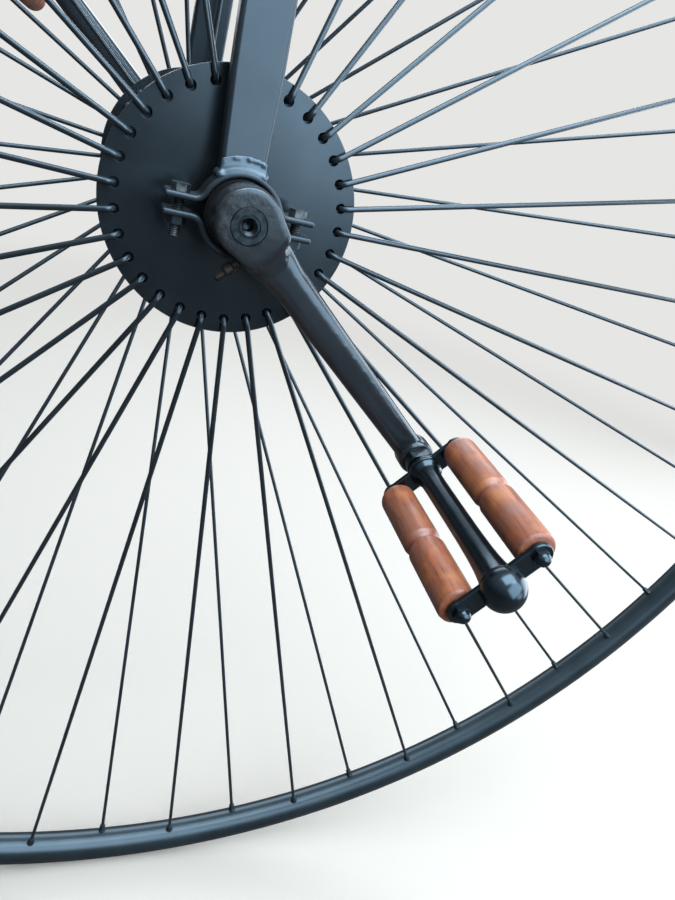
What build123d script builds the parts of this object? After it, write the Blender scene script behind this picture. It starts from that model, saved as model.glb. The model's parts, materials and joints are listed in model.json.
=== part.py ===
from build123d import *
import math
import os

# Driving wheel of a high-wheel bicycle in its fork, with both cranks and both pedals.
# Millimetres, +Z up along the steering axis. The origin is on that axis, at the top of the crown
# race seat where the steerer begins. +X points to the rider, -Y is the machine's left side.

# Wheel
WHEEL_R = 635.0            # outside of the tyre, a 50 inch wheel
TYRE_R = 9.5               # round solid rubber, 19 mm across
TYRE_SIDES = 12            # flats round the tyre's section
RIM_R = 12.7               # the rim is rolled from 25.4 mm tube
RIM_SIDES = 14             # flats round the tube's section
TYRE_STAND = 7.3           # tyre's centre stands this far outside the tube's centre
LIP_STAND = 6.5            # rim lips end this far outside the tube's centre
GLUE = 0.3                 # cement between tyre and rim

# Hub
DISC_R = 65.0
DISC_T = 5.0
DISC_HALF = 94.0           # outer face of each disc from the wheel's middle plane
BARREL_R = 25.0
BARREL_WALL = 3.0
AXLE_R = 8.5
SHOULDER_R = 11.5          # the axle's shoulders, between disc and bearing
WELD_GAP = 0.05            # between pieces that are welded or pressed together

# Spokes: 30 a side, radial, hooked through the disc from outside
SPOKES_A_SIDE = 30
SPOKE_R = 1.5
SPOKE_SIDES = 6            # flats round a spoke, its nipple and its hole
SPOKE_HOLE_R = 2.7
SPOKE_EDGE = 7.5           # spoke holes stand this far in from the disc's edge
SPOKE_LIFT = 0.3           # wire passes this far over the disc's edge
HOOK_THROUGH = 3.0         # hook's end beyond the disc's inner face
NIPPLE_R = 2.7
NIPPLE_L = 7.0
NIPPLE_SIDE = 4.1          # nipples stand this far to each side of the middle plane
NIPPLE_SEAT = 0.15

# Bearings, straps and fork
BEARING_R = 17.5           # sealed ball bearing, 17 x 35 x 10 mm
BEARING_W = 10.0
STRAP_T = 3.0              # strip that each half is bent from
STRAP_W = 16.0
STRAP_OUT = 21.0           # middle of the strap from the disc's outer face
STRAP_SPLIT = 5.0          # open gap between the ears
EAR_BEND_R = 4.0           # where the strip turns out into an ear
EAR_REACH = 36.0
BOLT_REACH = 28.5
BOLT_R = 2.5
BOLT_HOLE_R = 2.8
BOLT_HEAD_R = 4.6          # to the corners
BOLT_HEAD_H = 3.5
BOLT_NUT_H = 4.0
BOLT_TAIL = 6.0            # thread past the nut

AXLE_BACK = 2.5            # the axle sits this far behind the fork's centre line
TYRE_CLEAR = 20.0
CROWN_H = 40.0
CROWN_END = 10.0           # the yoke ends this far outside the leg's middle
CROWN_DEPTH = 34.0
CROWN_EDGE = 3.0
CROWN_SHOULDER = 18.0      # height of the crown at its ends
CROWN_BOSS_R = 21.0
CROWN_COLLAR = 4.0         # the boss stands this far over the yoke
LEG_TOP_Y = 38.0           # middle of each leg under the crown
LEG_END_Z = 14.0           # leg's section ends this far over the axle, coped to the strap
LEG_WAIST_Z = 62.0
LEG_FOOT = (20.5, 11.0)    # width, depth of the blade at its foot, waist and top
LEG_WAIST = (24.0, 11.5)
LEG_TOP = (30.0, 15.0)
LEG_EDGE = 2.5             # the blade's corners are cut by this much
STEERER_R = 14.3           # 1 1/8 inch tube
STEERER_BORE_R = 12.7
STEERER_L = 150.0
RACE_SEAT_R = 15.0
RACE_SEAT_H = 8.0
STEERER_ROOT_R = 16.0      # spigot brazed into the crown

# Cranks
CRANK_ANGLE = -41.6        # of the left crank, from +X towards +Z
CRANK_L = 153.0
CRANK_GAP = 5.3            # between the strap and the crank
BOSS_R = 16.0
BOSS_T = 17.0
BOSS_DRAFT = 0.8          # the forging's sides lean in by this much
BOSS_NOSE_X = 18.0         # the boss ends in two shoulders this far out, beside the arm
BOSS_NOSE_HALF = 14.0
BOSS_CORNER_R = 3.5
BOSS_EDGE = 1.6
ARM_START = 12.0           # the arm's sections stand this far from the axle
ARM_STOP = 4.0             # and this far short of the pedal's axis
ARM_ROOT = (18.5, 13.5)    # width, thickness
ARM_TIP = (15.5, 12.0)
ARM_EDGE = 4.0
ARM_SUNK = 3.5             # the arm's root stands this far below the boss's face
EYE_R = 10.0
EYE_T = 14.0
EYE_EDGE = 1.5
EYE_OUT = 7.5              # the eye's face stands this far outside the boss's
CENTRE_HOLE_R = 2.4
CENTRE_HOLE_L = 9.0

# Pedals, measured outward from the face of the crank's eye
PEDAL_SET = {              # degrees the spindle leans across and along the crank, and the pedal's turn
    "left": (3.2, -0.8, 2.9),
    "right": (0.0, 0.0, 0.0),
}
SPINDLE_R = 3.8
SPINDLE_THREAD_R = 6.5
SPINDLE_COLLAR_R = 8.0
SPINDLE_COLLAR_L = 7.0
SPINDLE_FLATS = 13.0       # across the collar's two spanner flats
PLATE_IN = 10.7
PLATE_OUT = 104.5
PLATE_T = 3.0
PLATE_MID_R = 9.0
PLATE_END_R = 6.0
PLATE_NECK = 5.5
ROD_REACH = 20.5
ROD_R = 2.5
ROD_GAP = 0.05             # about the rod, in its plates and grips
ROD_NUT_R = 4.2
ROD_NUT_H = 2.6
ROD_DOME_H = 5.0
GRIP_R = 9.2
GRIP_SEAT = 0.2
GRIP_END_ROUND = 3.0
GROOVE_DEPTH = 2.6
GROOVE_HALF = 4.0
BARREL_GAP = 0.08          # running gap on the spindle
BARREL_PROFILE = (         # (distance out, outside radius) of the pedal's barrel
    (PLATE_IN + PLATE_T, 8.2),
    (19.5, 6.0),
    (88.0, 6.0),
    (PLATE_OUT, 9.4),
)
DOME_R = 10.0
DOME_H = 12.5
DOME_PROFILE = ((0.96, 0.0), (1.0, 0.2), (0.87, 0.6), (0.5, 0.89))    # shares of DOME_R and DOME_H

RIM_CENTRE_R = WHEEL_R - TYRE_R - TYRE_STAND
TYRE_CENTRE_R = WHEEL_R - TYRE_R
CROWN_TOP = -RACE_SEAT_H
CROWN_FOOT = CROWN_TOP - CROWN_H
AXLE_Z = CROWN_FOOT - TYRE_CLEAR - WHEEL_R
STRAP_R = BEARING_R + STRAP_T
STRAP_Y = DISC_HALF + STRAP_OUT
CROWN_HALF = LEG_TOP_Y + CROWN_END
SPOKE_CIRCLE_R = DISC_R - SPOKE_EDGE
CRANK_BACK = STRAP_Y + STRAP_W / 2 + CRANK_GAP
CRANK_FACE = CRANK_BACK + BOSS_T
EYE_FACE = CRANK_FACE + EYE_OUT
BEARING_LOW = STRAP_Y - BEARING_W / 2
SPINDLE_END = PLATE_OUT + PLATE_T
ROD_HOLE_R = ROD_R + ROD_GAP
BARREL_BORE_R = SPINDLE_R + BARREL_GAP
SPOKE_PITCH = 360.0 / SPOKES_A_SIDE
PHASES = {"left": 0.0, "right": SPOKE_PITCH / 2}

HUB = Vector(AXLE_BACK, 0, AXLE_Z)
AXLE = Axis((AXLE_BACK, 0, AXLE_Z), (0, 1, 0))
# Frames at the hub: local x and y lie in the wheel, local z points out of the left side.
WHEEL_FRAME = Plane(origin=HUB, x_dir=(1, 0, 0), z_dir=(0, -1, 0))
CRANK_DIR = (math.cos(math.radians(CRANK_ANGLE)), 0, math.sin(math.radians(CRANK_ANGLE)))
CRANK_FRAME = Plane(origin=HUB, x_dir=CRANK_DIR, z_dir=(0, -1, 0))


def save(name, *solids):
    """Write one node from one or more solids."""
    shape = solids[0] if len(solids) == 1 else Compound(children=list(solids))
    export_step(shape, f"parts/{name}.step")


def rod(radius, low, high):
    """A cylinder on local z from one height to another."""
    return Pos(0, 0, low) * Cylinder(radius, high - low, align=(Align.CENTER, Align.CENTER, Align.MIN))


def hex_rod(radius, low, high):
    """A six-sided bar on local z, its radius across the corners."""
    return Pos(0, 0, low) * extrude(RegularPolygon(radius, SPOKE_SIDES), high - low)


def turned(points):
    """Revolve an outline given as (radius, height) about local z."""
    return revolve(Plane.XZ * make_face(Polyline(*points, close=True)), axis=Axis.Z)


def across(shape):
    """The same piece on the right side of the fork."""
    return mirror(shape, about=Plane.XZ)


def opposite(shape):
    """The same piece of the crank set, on the right side and half a turn on."""
    return across(shape).rotate(AXLE, 180)


def ring(section):
    """Turn a section drawn at (radius, sideways) into a ring about the axle."""
    return Location(HUB) * revolve(section, axis=Axis.Y)


def make_tyre():
    return ring(Pos(TYRE_CENTRE_R, 0) * RegularPolygon(TYRE_R, TYRE_SIDES))


def make_rim():
    tube = Pos(RIM_CENTRE_R, 0) * RegularPolygon(RIM_R, RIM_SIDES)
    seat = Pos(TYRE_CENTRE_R, 0) * RegularPolygon(TYRE_R + GLUE, TYRE_SIDES)
    beyond = Pos(RIM_CENTRE_R + LIP_STAND + RIM_R, 0) * Rectangle(2 * RIM_R, 4 * RIM_R)
    return ring(tube - seat - beyond)


def make_disc(phase):
    holes = PolarLocations(SPOKE_CIRCLE_R, SPOKES_A_SIDE, start_angle=phase)
    outline = Circle(DISC_R) - Circle(AXLE_R + WELD_GAP) - holes * RegularPolygon(SPOKE_HOLE_R, SPOKE_SIDES)
    return Pos(0, 0, DISC_HALF - DISC_T) * extrude(outline, DISC_T)


def make_spokes(phase):
    """One side's spokes, each hooked through the disc, with its nipple at the rim."""
    seat_r = RIM_CENTRE_R - math.sqrt(RIM_R**2 - NIPPLE_SIDE**2) - NIPPLE_SEAT
    slope = (DISC_HALF - NIPPLE_SIDE) / (seat_r - DISC_R)
    hook_z = DISC_HALF + SPOKE_R + SPOKE_LIFT + slope * SPOKE_EDGE
    hook = Vector(SPOKE_CIRCLE_R, 0, hook_z)
    end = Vector(SPOKE_CIRCLE_R, 0, DISC_HALF - DISC_T - HOOK_THROUGH)
    seat = Vector(seat_r, 0, NIPPLE_SIDE)
    start = Plane(origin=end, z_dir=(0, 0, 1)) * RegularPolygon(SPOKE_R, SPOKE_SIDES)
    wire = sweep(start, path=Polyline(end, hook, seat), transition=Transition.RIGHT)
    nipple = Plane(origin=seat, x_dir=(0, 1, 0), z_dir=hook - seat) * hex_rod(NIPPLE_R, 0, NIPPLE_L)
    spoke = wire + nipple
    return [Rot(0, 0, phase + SPOKE_PITCH * k) * spoke for k in range(SPOKES_A_SIDE)]


def make_axle():
    """Axle with a shoulder against each bearing and a centre hole in each end."""
    axle = rod(AXLE_R, -CRANK_FACE, CRANK_FACE)
    for turn in (0, 180):
        axle = axle + Rot(turn, 0, 0) * rod(SHOULDER_R, DISC_HALF + WELD_GAP, BEARING_LOW - WELD_GAP)
        axle = axle - Rot(turn, 0, 0) * rod(CENTRE_HOLE_R, CRANK_FACE - CENTRE_HOLE_L, CRANK_FACE)
    return axle


def make_hub_barrel():
    half = DISC_HALF - DISC_T
    return rod(BARREL_R, -half, half) - rod(BARREL_R - BARREL_WALL, -half, half)


def make_bearing():
    return rod(BEARING_R, BEARING_LOW, BEARING_LOW + BEARING_W) - rod(AXLE_R + WELD_GAP, 0, 2 * STRAP_Y)


def bent_strip(radius, half_height, reach, bend_r):
    """Disc with a bar through it, the bar's corners rounded off against the disc."""
    outline = Circle(radius) + Rectangle(2 * reach, 2 * half_height)
    corners = [corner for corner in outline.vertices() if abs(corner.X) < radius]
    return fillet(corners, bend_r)


def make_strap():
    """Upper half of the two-part strap about the bearing, bent from one strip, in the wheel frame."""
    half_gap = STRAP_SPLIT / 2
    outside = bent_strip(STRAP_R, half_gap + STRAP_T, EAR_REACH, EAR_BEND_R)
    inside = bent_strip(BEARING_R + WELD_GAP, half_gap, 2 * EAR_REACH, EAR_BEND_R + STRAP_T)
    outline = outside - inside - Pos(0, -STRAP_R) * Rectangle(4 * EAR_REACH, 2 * STRAP_R)
    strap = Pos(0, 0, STRAP_Y - STRAP_W / 2) * extrude(outline, STRAP_W)
    drill = Rot(-90, 0, 0) * rod(BOLT_HOLE_R, 0, 2 * STRAP_R)
    return strap - [Pos(side * BOLT_REACH, 0, STRAP_Y) * drill for side in (-1, 1)]


def make_clamp_bolts():
    """The two bolts of one strap, heads up, in the wheel frame."""
    top = STRAP_SPLIT / 2 + STRAP_T
    head = hex_rod(BOLT_HEAD_R, top, top + BOLT_HEAD_H)
    nut = hex_rod(BOLT_HEAD_R, -top - BOLT_NUT_H, -top)
    bolt = head + nut + rod(BOLT_R, -top - BOLT_NUT_H - BOLT_TAIL, top + BOLT_HEAD_H / 2)
    upright = Rot(-90, 0, 0) * bolt
    return [Pos(side * BOLT_REACH, 0, STRAP_Y) * upright for side in (-1, 1)]


def bar_section(size, edge):
    """Rectangle of a width and a depth, with its corners cut."""
    width, depth = size
    return chamfer(Rectangle(width, depth).vertices(), edge)


def make_leg():
    """Left fork leg, a flat blade from the crown down to its seat on the strap."""
    low_z = AXLE_Z + LEG_END_Z
    waist_z = AXLE_Z + LEG_WAIST_Z
    low_y = -STRAP_Y
    share = (waist_z - low_z) / (CROWN_FOOT - low_z)
    waist_y = low_y + share * (-LEG_TOP_Y - low_y)
    low = Pos(0, low_y, low_z) * bar_section(LEG_FOOT, LEG_EDGE)
    waist = Pos(0, waist_y, waist_z) * bar_section(LEG_WAIST, LEG_EDGE)
    top = Pos(0, -LEG_TOP_Y, CROWN_FOOT) * bar_section(LEG_TOP, LEG_EDGE)
    leg = loft([low, waist], ruled=True) + loft([waist, top], ruled=True)
    return leg - WHEEL_FRAME * rod(STRAP_R + WELD_GAP, 0, 2 * STRAP_Y)


def make_crown():
    """Yoke over the tyre that joins the legs and carries the steerer."""
    outline = Polyline(
        (-CROWN_HALF, CROWN_FOOT),
        (CROWN_HALF, CROWN_FOOT),
        (CROWN_HALF, CROWN_FOOT + CROWN_SHOULDER),
        (CROWN_BOSS_R, CROWN_TOP - CROWN_COLLAR),
        (-CROWN_BOSS_R, CROWN_TOP - CROWN_COLLAR),
        (-CROWN_HALF, CROWN_FOOT + CROWN_SHOULDER),
        close=True,
    )
    yoke = extrude(Plane.YZ * make_face(outline), CROWN_DEPTH / 2, both=True)
    yoke = chamfer(yoke.edges().filter_by(Axis.X), CROWN_EDGE)
    boss = rod(CROWN_BOSS_R, CROWN_FOOT + CROWN_SHOULDER, CROWN_TOP)
    return yoke + boss - rod(STEERER_ROOT_R + WELD_GAP, CROWN_FOOT, CROWN_TOP)


def make_steerer():
    """Tube turned down from its spigot in the crown, past the race seat."""
    tube = rod(STEERER_R, 0, STEERER_L) + rod(RACE_SEAT_R, CROWN_TOP, 0)
    tube = tube + rod(STEERER_ROOT_R, CROWN_FOOT, CROWN_TOP)
    return tube - rod(STEERER_BORE_R, CROWN_FOOT, STEERER_L)


def pedal_frame(lean, spread, turn):
    """Frame at the face of the crank's eye, local z out along the spindle, x near the crank's."""
    out = (math.sin(math.radians(spread)), -math.sin(math.radians(lean)), 1)
    along = (math.cos(math.radians(turn)), math.sin(math.radians(turn)), 0)
    return Plane(origin=(CRANK_L, 0, EYE_FACE), x_dir=along, z_dir=out)


def boss_outline(inset):
    """Round boss with two shoulders beside the arm, drawn this far inside its back edge."""
    reach = BOSS_NOSE_X - BOSS_CORNER_R
    half = BOSS_NOSE_HALF - BOSS_CORNER_R
    shoulders = [Pos(reach, side * half) * Circle(BOSS_CORNER_R - inset) for side in (-1, 1)]
    return make_hull((Circle(BOSS_R - inset) + shoulders).edges())


def make_crank(eye_frame):
    """Boss, tapering arm and eye, in the crank frame."""
    sections = [
        (0, 0),
        (BOSS_T - BOSS_EDGE, BOSS_DRAFT),
        (BOSS_T, BOSS_DRAFT + BOSS_EDGE),
    ]
    rings = [Pos(0, 0, CRANK_BACK + height) * boss_outline(inset) for height, inset in sections]
    boss = loft(rings[:2], ruled=True) + loft(rings[1:], ruled=True)
    root_z = CRANK_FACE - ARM_SUNK - ARM_ROOT[1] / 2
    root = Plane(origin=(ARM_START, 0, root_z), x_dir=(0, 1, 0), z_dir=(1, 0, 0))
    tip = Plane(origin=(CRANK_L - ARM_STOP, 0, EYE_FACE - EYE_T / 2), x_dir=(0, 1, 0), z_dir=(1, 0, 0))
    arm = loft([root * bar_section(ARM_ROOT, ARM_EDGE), tip * bar_section(ARM_TIP, ARM_EDGE)], ruled=True)
    eye = eye_frame * chamfer(rod(EYE_R, -EYE_T, 0).edges(), EYE_EDGE)
    crank = boss + arm + eye
    crank = crank - rod(AXLE_R + WELD_GAP, 0, CRANK_FACE)
    return crank - eye_frame * rod(SPINDLE_THREAD_R + WELD_GAP, -2 * EYE_T, EYE_T)


def make_spindle():
    """Screwed into the eye, with a collar for the spanner, in the pedal frame."""
    thread = rod(SPINDLE_THREAD_R, -EYE_T, 0)
    collar = rod(SPINDLE_COLLAR_R, 0, SPINDLE_COLLAR_L)
    collar = collar & Box(SPINDLE_FLATS, 4 * SPINDLE_COLLAR_R, 4 * SPINDLE_COLLAR_R)
    return thread + collar + rod(SPINDLE_R, 0, SPINDLE_END)


def make_plate(low):
    """Bow-tie end plate with a hole for the spindle and one for each rod."""
    ends = [Pos(0, side * ROD_REACH) * Circle(PLATE_END_R) for side in (-1, 1)]
    outline = Circle(PLATE_MID_R) + ends + Rectangle(2 * PLATE_NECK, 2 * ROD_REACH)
    outline = outline - [Pos(0, side * ROD_REACH) * Circle(ROD_HOLE_R) for side in (-1, 1)]
    return Pos(0, 0, low) * extrude(outline - Circle(BARREL_BORE_R), PLATE_T)


def make_barrel():
    """Flared tube that turns on the spindle."""
    first, last = BARREL_PROFILE[0], BARREL_PROFILE[-1]
    points = [(BARREL_BORE_R, first[0])]
    points += [(radius, out) for out, radius in BARREL_PROFILE]
    points += [(BARREL_BORE_R, last[0])]
    return turned(points)


def make_dome():
    """Round cap over the outer end of the spindle."""
    base = PLATE_OUT + PLATE_T
    points = [(DOME_R * radius, base + DOME_H * height) for radius, height in DOME_PROFILE]
    return turned([(0, base)] + points + [(0, base + DOME_H)]) - rod(BARREL_BORE_R, base, SPINDLE_END + 1)


def make_rods():
    """The two rods through the grips, nuts inside and domed nuts outside."""
    inner = PLATE_IN
    outer = PLATE_OUT + PLATE_T
    shank = rod(ROD_R, inner - ROD_NUT_H / 2, outer + ROD_DOME_H / 2)
    nuts = hex_rod(ROD_NUT_R, inner - ROD_NUT_H, inner) + rod(ROD_NUT_R, outer, outer + ROD_DOME_H)
    return [Pos(0, side * ROD_REACH, 0) * (shank + nuts) for side in (-1, 1)]


def make_grips():
    """Two turned wooden grips with a groove at the middle."""
    low = PLATE_IN + PLATE_T + GRIP_SEAT
    high = PLATE_OUT - GRIP_SEAT
    middle = (low + high) / 2
    grip = turned([
        (ROD_HOLE_R, low),
        (GRIP_R - GRIP_END_ROUND, low),
        (GRIP_R, low + GRIP_END_ROUND),
        (GRIP_R, middle - GROOVE_HALF),
        (GRIP_R - GROOVE_DEPTH, middle),
        (GRIP_R, middle + GROOVE_HALF),
        (GRIP_R, high - GRIP_END_ROUND),
        (GRIP_R - GRIP_END_ROUND, high),
        (ROD_HOLE_R, high),
    ])
    return [Pos(0, side * ROD_REACH, 0) * grip for side in (-1, 1)]


def both_sides(solids):
    """The left side's solids, then their mirror images."""
    return [*solids, *[across(solid) for solid in solids]]


os.makedirs("parts", exist_ok=True)

# Fork
save("steerer", make_steerer())
save("fork_crown", make_crown())
leg = make_leg()
save("fork_leg_left", leg)
save("fork_leg_right", across(leg))
save("upper_straps", *both_sides([WHEEL_FRAME * make_strap()]))
save("lower_straps", *both_sides([WHEEL_FRAME * (Rot(0, 0, 180) * make_strap())]))
save("strap_bolts", *both_sides([WHEEL_FRAME * bolt for bolt in make_clamp_bolts()]))
save("hub_bearings", *both_sides([WHEEL_FRAME * make_bearing()]))

# Wheel
save("tyre", make_tyre())
save("rim", make_rim())
save("axle", WHEEL_FRAME * make_axle())
save("hub_barrel", WHEEL_FRAME * make_hub_barrel())
for side, place in (("left", lambda shape: shape), ("right", across)):
    save(f"hub_disc_{side}", place(WHEEL_FRAME * make_disc(PHASES[side])))
    save(f"spokes_{side}", *[place(WHEEL_FRAME * spoke) for spoke in make_spokes(PHASES[side])])

# Cranks and pedals
for side, place in (("left", lambda shape: shape), ("right", opposite)):
    eye_frame = pedal_frame(*PEDAL_SET[side])
    pedal = CRANK_FRAME * eye_frame.location
    save(f"crank_{side}", place(CRANK_FRAME * make_crank(eye_frame)))
    save(f"pedal_spindle_{side}", place(pedal * make_spindle()))
    save(f"pedal_plate_inner_{side}", place(pedal * make_plate(PLATE_IN)))
    save(f"pedal_plate_outer_{side}", place(pedal * make_plate(PLATE_OUT)))
    save(f"pedal_barrel_{side}", place(pedal * make_barrel()))
    save(f"pedal_dome_{side}", place(pedal * make_dome()))
    save(f"pedal_rods_{side}", *[place(pedal * shape) for shape in make_rods()])
    save(f"pedal_grips_{side}", *[place(pedal * shape) for shape in make_grips()])
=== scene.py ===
import json
import math
import random

import bpy
from mathutils import Matrix, Vector


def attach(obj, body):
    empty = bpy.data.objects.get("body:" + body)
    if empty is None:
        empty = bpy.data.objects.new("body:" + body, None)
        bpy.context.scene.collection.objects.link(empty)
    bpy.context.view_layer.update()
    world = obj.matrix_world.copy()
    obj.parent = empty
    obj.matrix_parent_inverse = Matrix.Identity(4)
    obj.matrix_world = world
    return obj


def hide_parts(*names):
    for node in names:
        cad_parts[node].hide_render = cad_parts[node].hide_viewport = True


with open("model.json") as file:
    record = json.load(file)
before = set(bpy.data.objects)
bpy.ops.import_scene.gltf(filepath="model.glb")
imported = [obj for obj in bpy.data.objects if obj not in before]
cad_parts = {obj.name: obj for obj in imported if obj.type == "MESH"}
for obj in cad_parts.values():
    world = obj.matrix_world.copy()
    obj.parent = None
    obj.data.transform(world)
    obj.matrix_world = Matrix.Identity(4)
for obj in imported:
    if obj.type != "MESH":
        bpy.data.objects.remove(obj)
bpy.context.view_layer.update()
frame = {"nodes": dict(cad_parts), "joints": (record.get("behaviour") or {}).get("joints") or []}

# Driving wheel of a high-wheel bicycle in its fork. Sizes are in millimetres unless a name or a
# comment says otherwise, and MM turns them into metres.
MM = 0.001

# Wheel
WHEEL_R = 635.0
TYRE_R = 9.5
TYRE_CENTRE_R = WHEEL_R - TYRE_R
RIM_CENTRE_R = TYRE_CENTRE_R - 7.3
RIM_R = 12.7
LIP_STAND = 6.5            # rim lips end this far outside the tube's centre
SEAT_R = 9.8               # hollow in the rim that the tyre lies in
RING_STEPS = 288           # segments round the rim and the tyre
TYRE_SIDES = 24            # and round their sections
RIM_SIDES = 30
SEAT_SIDES = 12

# Hub and spokes
DISC_R = 65.0
DISC_T = 5.0
DISC_HALF = 94.0           # outer face of each disc from the wheel's middle plane
SPOKES_A_SIDE = 30
SPOKE_R = 1.5
SPOKE_BEND_R = 3.2         # inside the hook, at the wire's middle
SPOKE_CIRCLE_R = 57.5
SPOKE_LIFT = 2.84          # middle of the wire over the disc at the hook
SPOKE_THROUGH = 3.0
SPOKE_HEAD_R = 3.4
SPOKE_HEAD_FLAT_R = 2.4
SPOKE_HEAD_DOME = 0.9
SPOKE_HOLE_R = 2.5
SPOKE_PHASE = {"left": 0.0, "right": 6.0}    # degrees round the hub
NIPPLE_SIDE = 4.1
NIPPLE_SEAT_R = 606.03     # where the nipples meet the rim
NIPPLE = [(0, 0.2), (3.3, 0.2), (3.2, 1.1), (2.6, 1.8), (2.5, 6.0), (2.0, 7.0), (0, 7.0)]    # radius, rise
WIRE_SHORT = 0.6           # the wire ends this far short of the rim
DISC_EDGE = 0.8
AXLE_R = 8.5
AXLE_SHOULDER_R = 11.5
AXLE_EDGE = 0.4
AXLE_CENTRE = [(0, 9.0), (2.4, 8.0), (2.4, 1.6), (3.9, 0.3), (4.4, 0.3), (4.6, 0.6), (5.0, 0.6), (5.3, 0),
               (8.1, 0)]    # radius and depth of the drilled centre in the axle's end
FIT = 0.05                 # gap between pieces that are pressed or welded together
PAST = 1.0                 # cutters reach this far past what they cut

# Bearings and clamps
BEARING_R = 17.5
BEARING_W = 10.0
STRAP_Y = 115.0
STRAP_T = 3.0
STRAP_W = 16.0
STRAP_SPLIT = 5.0
STRAP_EDGE = 1.3
EAR_REACH = 36.0
EAR_BEND_R = 4.0
BOLT_REACH = 28.5
BOLT_R = 2.5
BOLT_HOLE_R = 2.8
BOLT_HEAD_R = 4.6          # to the corners
BOLT_HEAD_H = 3.5
BOLT_NUT_H = 4.0
BOLT_TAIL = 6.0

# Fork
CROWN_TOP = -8.0
CROWN_FOOT = -48.0
CROWN_HALF = 48.0
CROWN_DEPTH = 34.0
CROWN_SHOULDER = 18.0
CROWN_BOSS_R = 21.0
STEERER_R = 14.3
STEERER_BORE_R = 12.7
STEERER_ROOT_R = 16.0
STEERER_L = 150.0
LEG_TOP_Y = 38.0
LEG_FOOT_RISE = 14.0       # leg's section ends this far over the axle
LEG_WAIST_RISE = 62.0
LEG_FOOT = (20.5, 11.0)    # width, depth
LEG_WAIST = (24.0, 11.5)
LEG_TOP = (30.0, 15.0)
LEG_EDGE_R = 2.2
WELD_RISE = 6.6            # the weld runs this far up the leg's face from the strap
DABS_ACROSS = 9            # dabs along the blade's face and back, and up each side
DABS_DEEP = 7
FLECK_R = 1.7              # dabs that stand out of the fillet's top
BACK_DAB_R = 2.2
SIDE_DAB_R = 2.1
DAB_STRAY = 0.35           # hand-laid dabs stray by this much
DAB_SHARE = (0.85, 1.15)   # and vary in size between these shares
WELD_GRAIN = 0.4           # grain that the weld is melted at
WELD_SOFTENING = 20

# Cranks, along the crank from the axle and outward from the wheel's middle plane
CRANK_L = 153.0
CRANK_BACK = 128.3
BOSS_R = 16.0
BOSS_T = 17.0
BOSS_DRAFT = 0.3           # the forging's sides lean in by this much
BOSS_EDGE = 1.0
BOSS_SHIFT = (-0.6, 0.9)   # the forging stands this much off its bore
BOSS_NOSE_X = 19.0         # the boss ends in two shoulders this far out, beside the arm
BOSS_NOSE_HALF = 13.6
BOSS_CORNER_R = 6.0
CRANK_FACE = CRANK_BACK + BOSS_T
ARM_START = 12.0
ARM_STOP = 4.0             # the arm's section ends this far short of the pedal's axis
ARM_ROOT = (18.5, 13.5)    # width, thickness
ARM_TIP = (15.5, 12.0)
NECK_WEB = (5.0, 3.0)      # the arm's root is this much wider below and above
NECK_SHARE = 0.16          # and is down to its own width this far along
ARM_EDGE = 6.6
ARM_SUNK = 3.5             # the arm's root stands this far below the boss's face
ARM_CORNER_STEPS = 18
# Shoulder from boss to arm: reach along the crank, drop from the boss's face, width
SHOULDER = [(8, 0.2, 25), (17, 1.0, 21), (23, 2.2, 13), (30, 2.8, 7)]
SHOULDER_ASIDE = -0.5
SHOULDER_EDGE = 3.2
SHOULDER_CORNER_STEPS = 12
FORGING_GRAIN = 0.6        # grain that the forging is melted at
FORGING_SOFTENING = 28
EYE_R = 10.0
EYE_T = 14.0
EYE_EDGE = 1.5
EYE_FACE = CRANK_FACE + 7.5
COTTER_X = 12.0            # the locking screw crosses the crank this far out from the axle
COTTER_RISE = 6.0          # and this far from the boss's back
COTTER = [(0, 12), (2.2, 12), (2.2, 16.5), (2.9, 17), (2.9, 20.6), (2.4, 21.4), (1.6, 21.6), (1.6, 26.2),
          (1.2, 26.8), (0, 26.8)]    # radius, distance from the crank's middle line

# Pedals, outward from the face of the crank's eye
PEDAL_TURN = {"left": 2.9, "right": 0.0}    # degrees each pedal has turned on its spindle
SPINDLE_R = 3.8
SPINDLE_THREAD_R = 6.5
COLLAR_R = 8.0
COLLAR_L = 7.0
COLLAR_EDGE = 0.5
COLLAR_FLATS = 13.0
FLATS_TURN = -32           # degrees the spanner flats have turned from the crank
PLATE_IN = 10.7
PLATE_OUT = 104.5
PLATE_T = 3.0
PLATE_MID_R = 9.0
PLATE_END_R = 6.0
PLATE_NECK = 5.5
PLATE_EDGE = 0.8
BARREL_BORE_R = 3.88
BELL = [(8.0, 0), (8.5, 0.6), (8.3, 1.6), (7.2, 2.8), (6.6, 4.6), (6.1, 7.5), (5.9, 14), (5.9, 40),
        (6.0, 60)]         # barrel's radius at distances from the inner plate
FLARE = [(6.3, 18), (6.7, 11), (7.3, 5.5), (7.9, 2), (8.4, 0)]    # and from the outer one
ROD_REACH = 20.5
ROD_R = 2.5
ROD_NUT_R = 4.2
ROD_NUT_H = 2.6
ACORN_FOOT_H = 2.2
ACORN_R = 3.4
ACORN_LOW = 2.0
ROD_DOME_H = 5.0
GRIP_R = 9.2
GRIP_ROUND = 5.5
GRIP_LOW = PLATE_IN + PLATE_T + 0.2
GRIP_HIGH = PLATE_OUT - 0.2
GROOVE_AT = 61.6
GROOVE_DEPTH = 2.6
GROOVE = [(0, -5.4), (0.35, -4.4), (0.5, -3.6), (1.5, -2.6), (GROOVE_DEPTH - 0.3, -1.4),
          (GROOVE_DEPTH, 0.2), (GROOVE_DEPTH - 0.2, 1.3), (1.0, 1.8), (0.3, 2.1), (0, 3.2)]    # depth, along
DOME_R = 10.0
DOME_H = 12.5
DOME_WALL = 1.2            # the cap closes this far over the spindle's end

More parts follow.
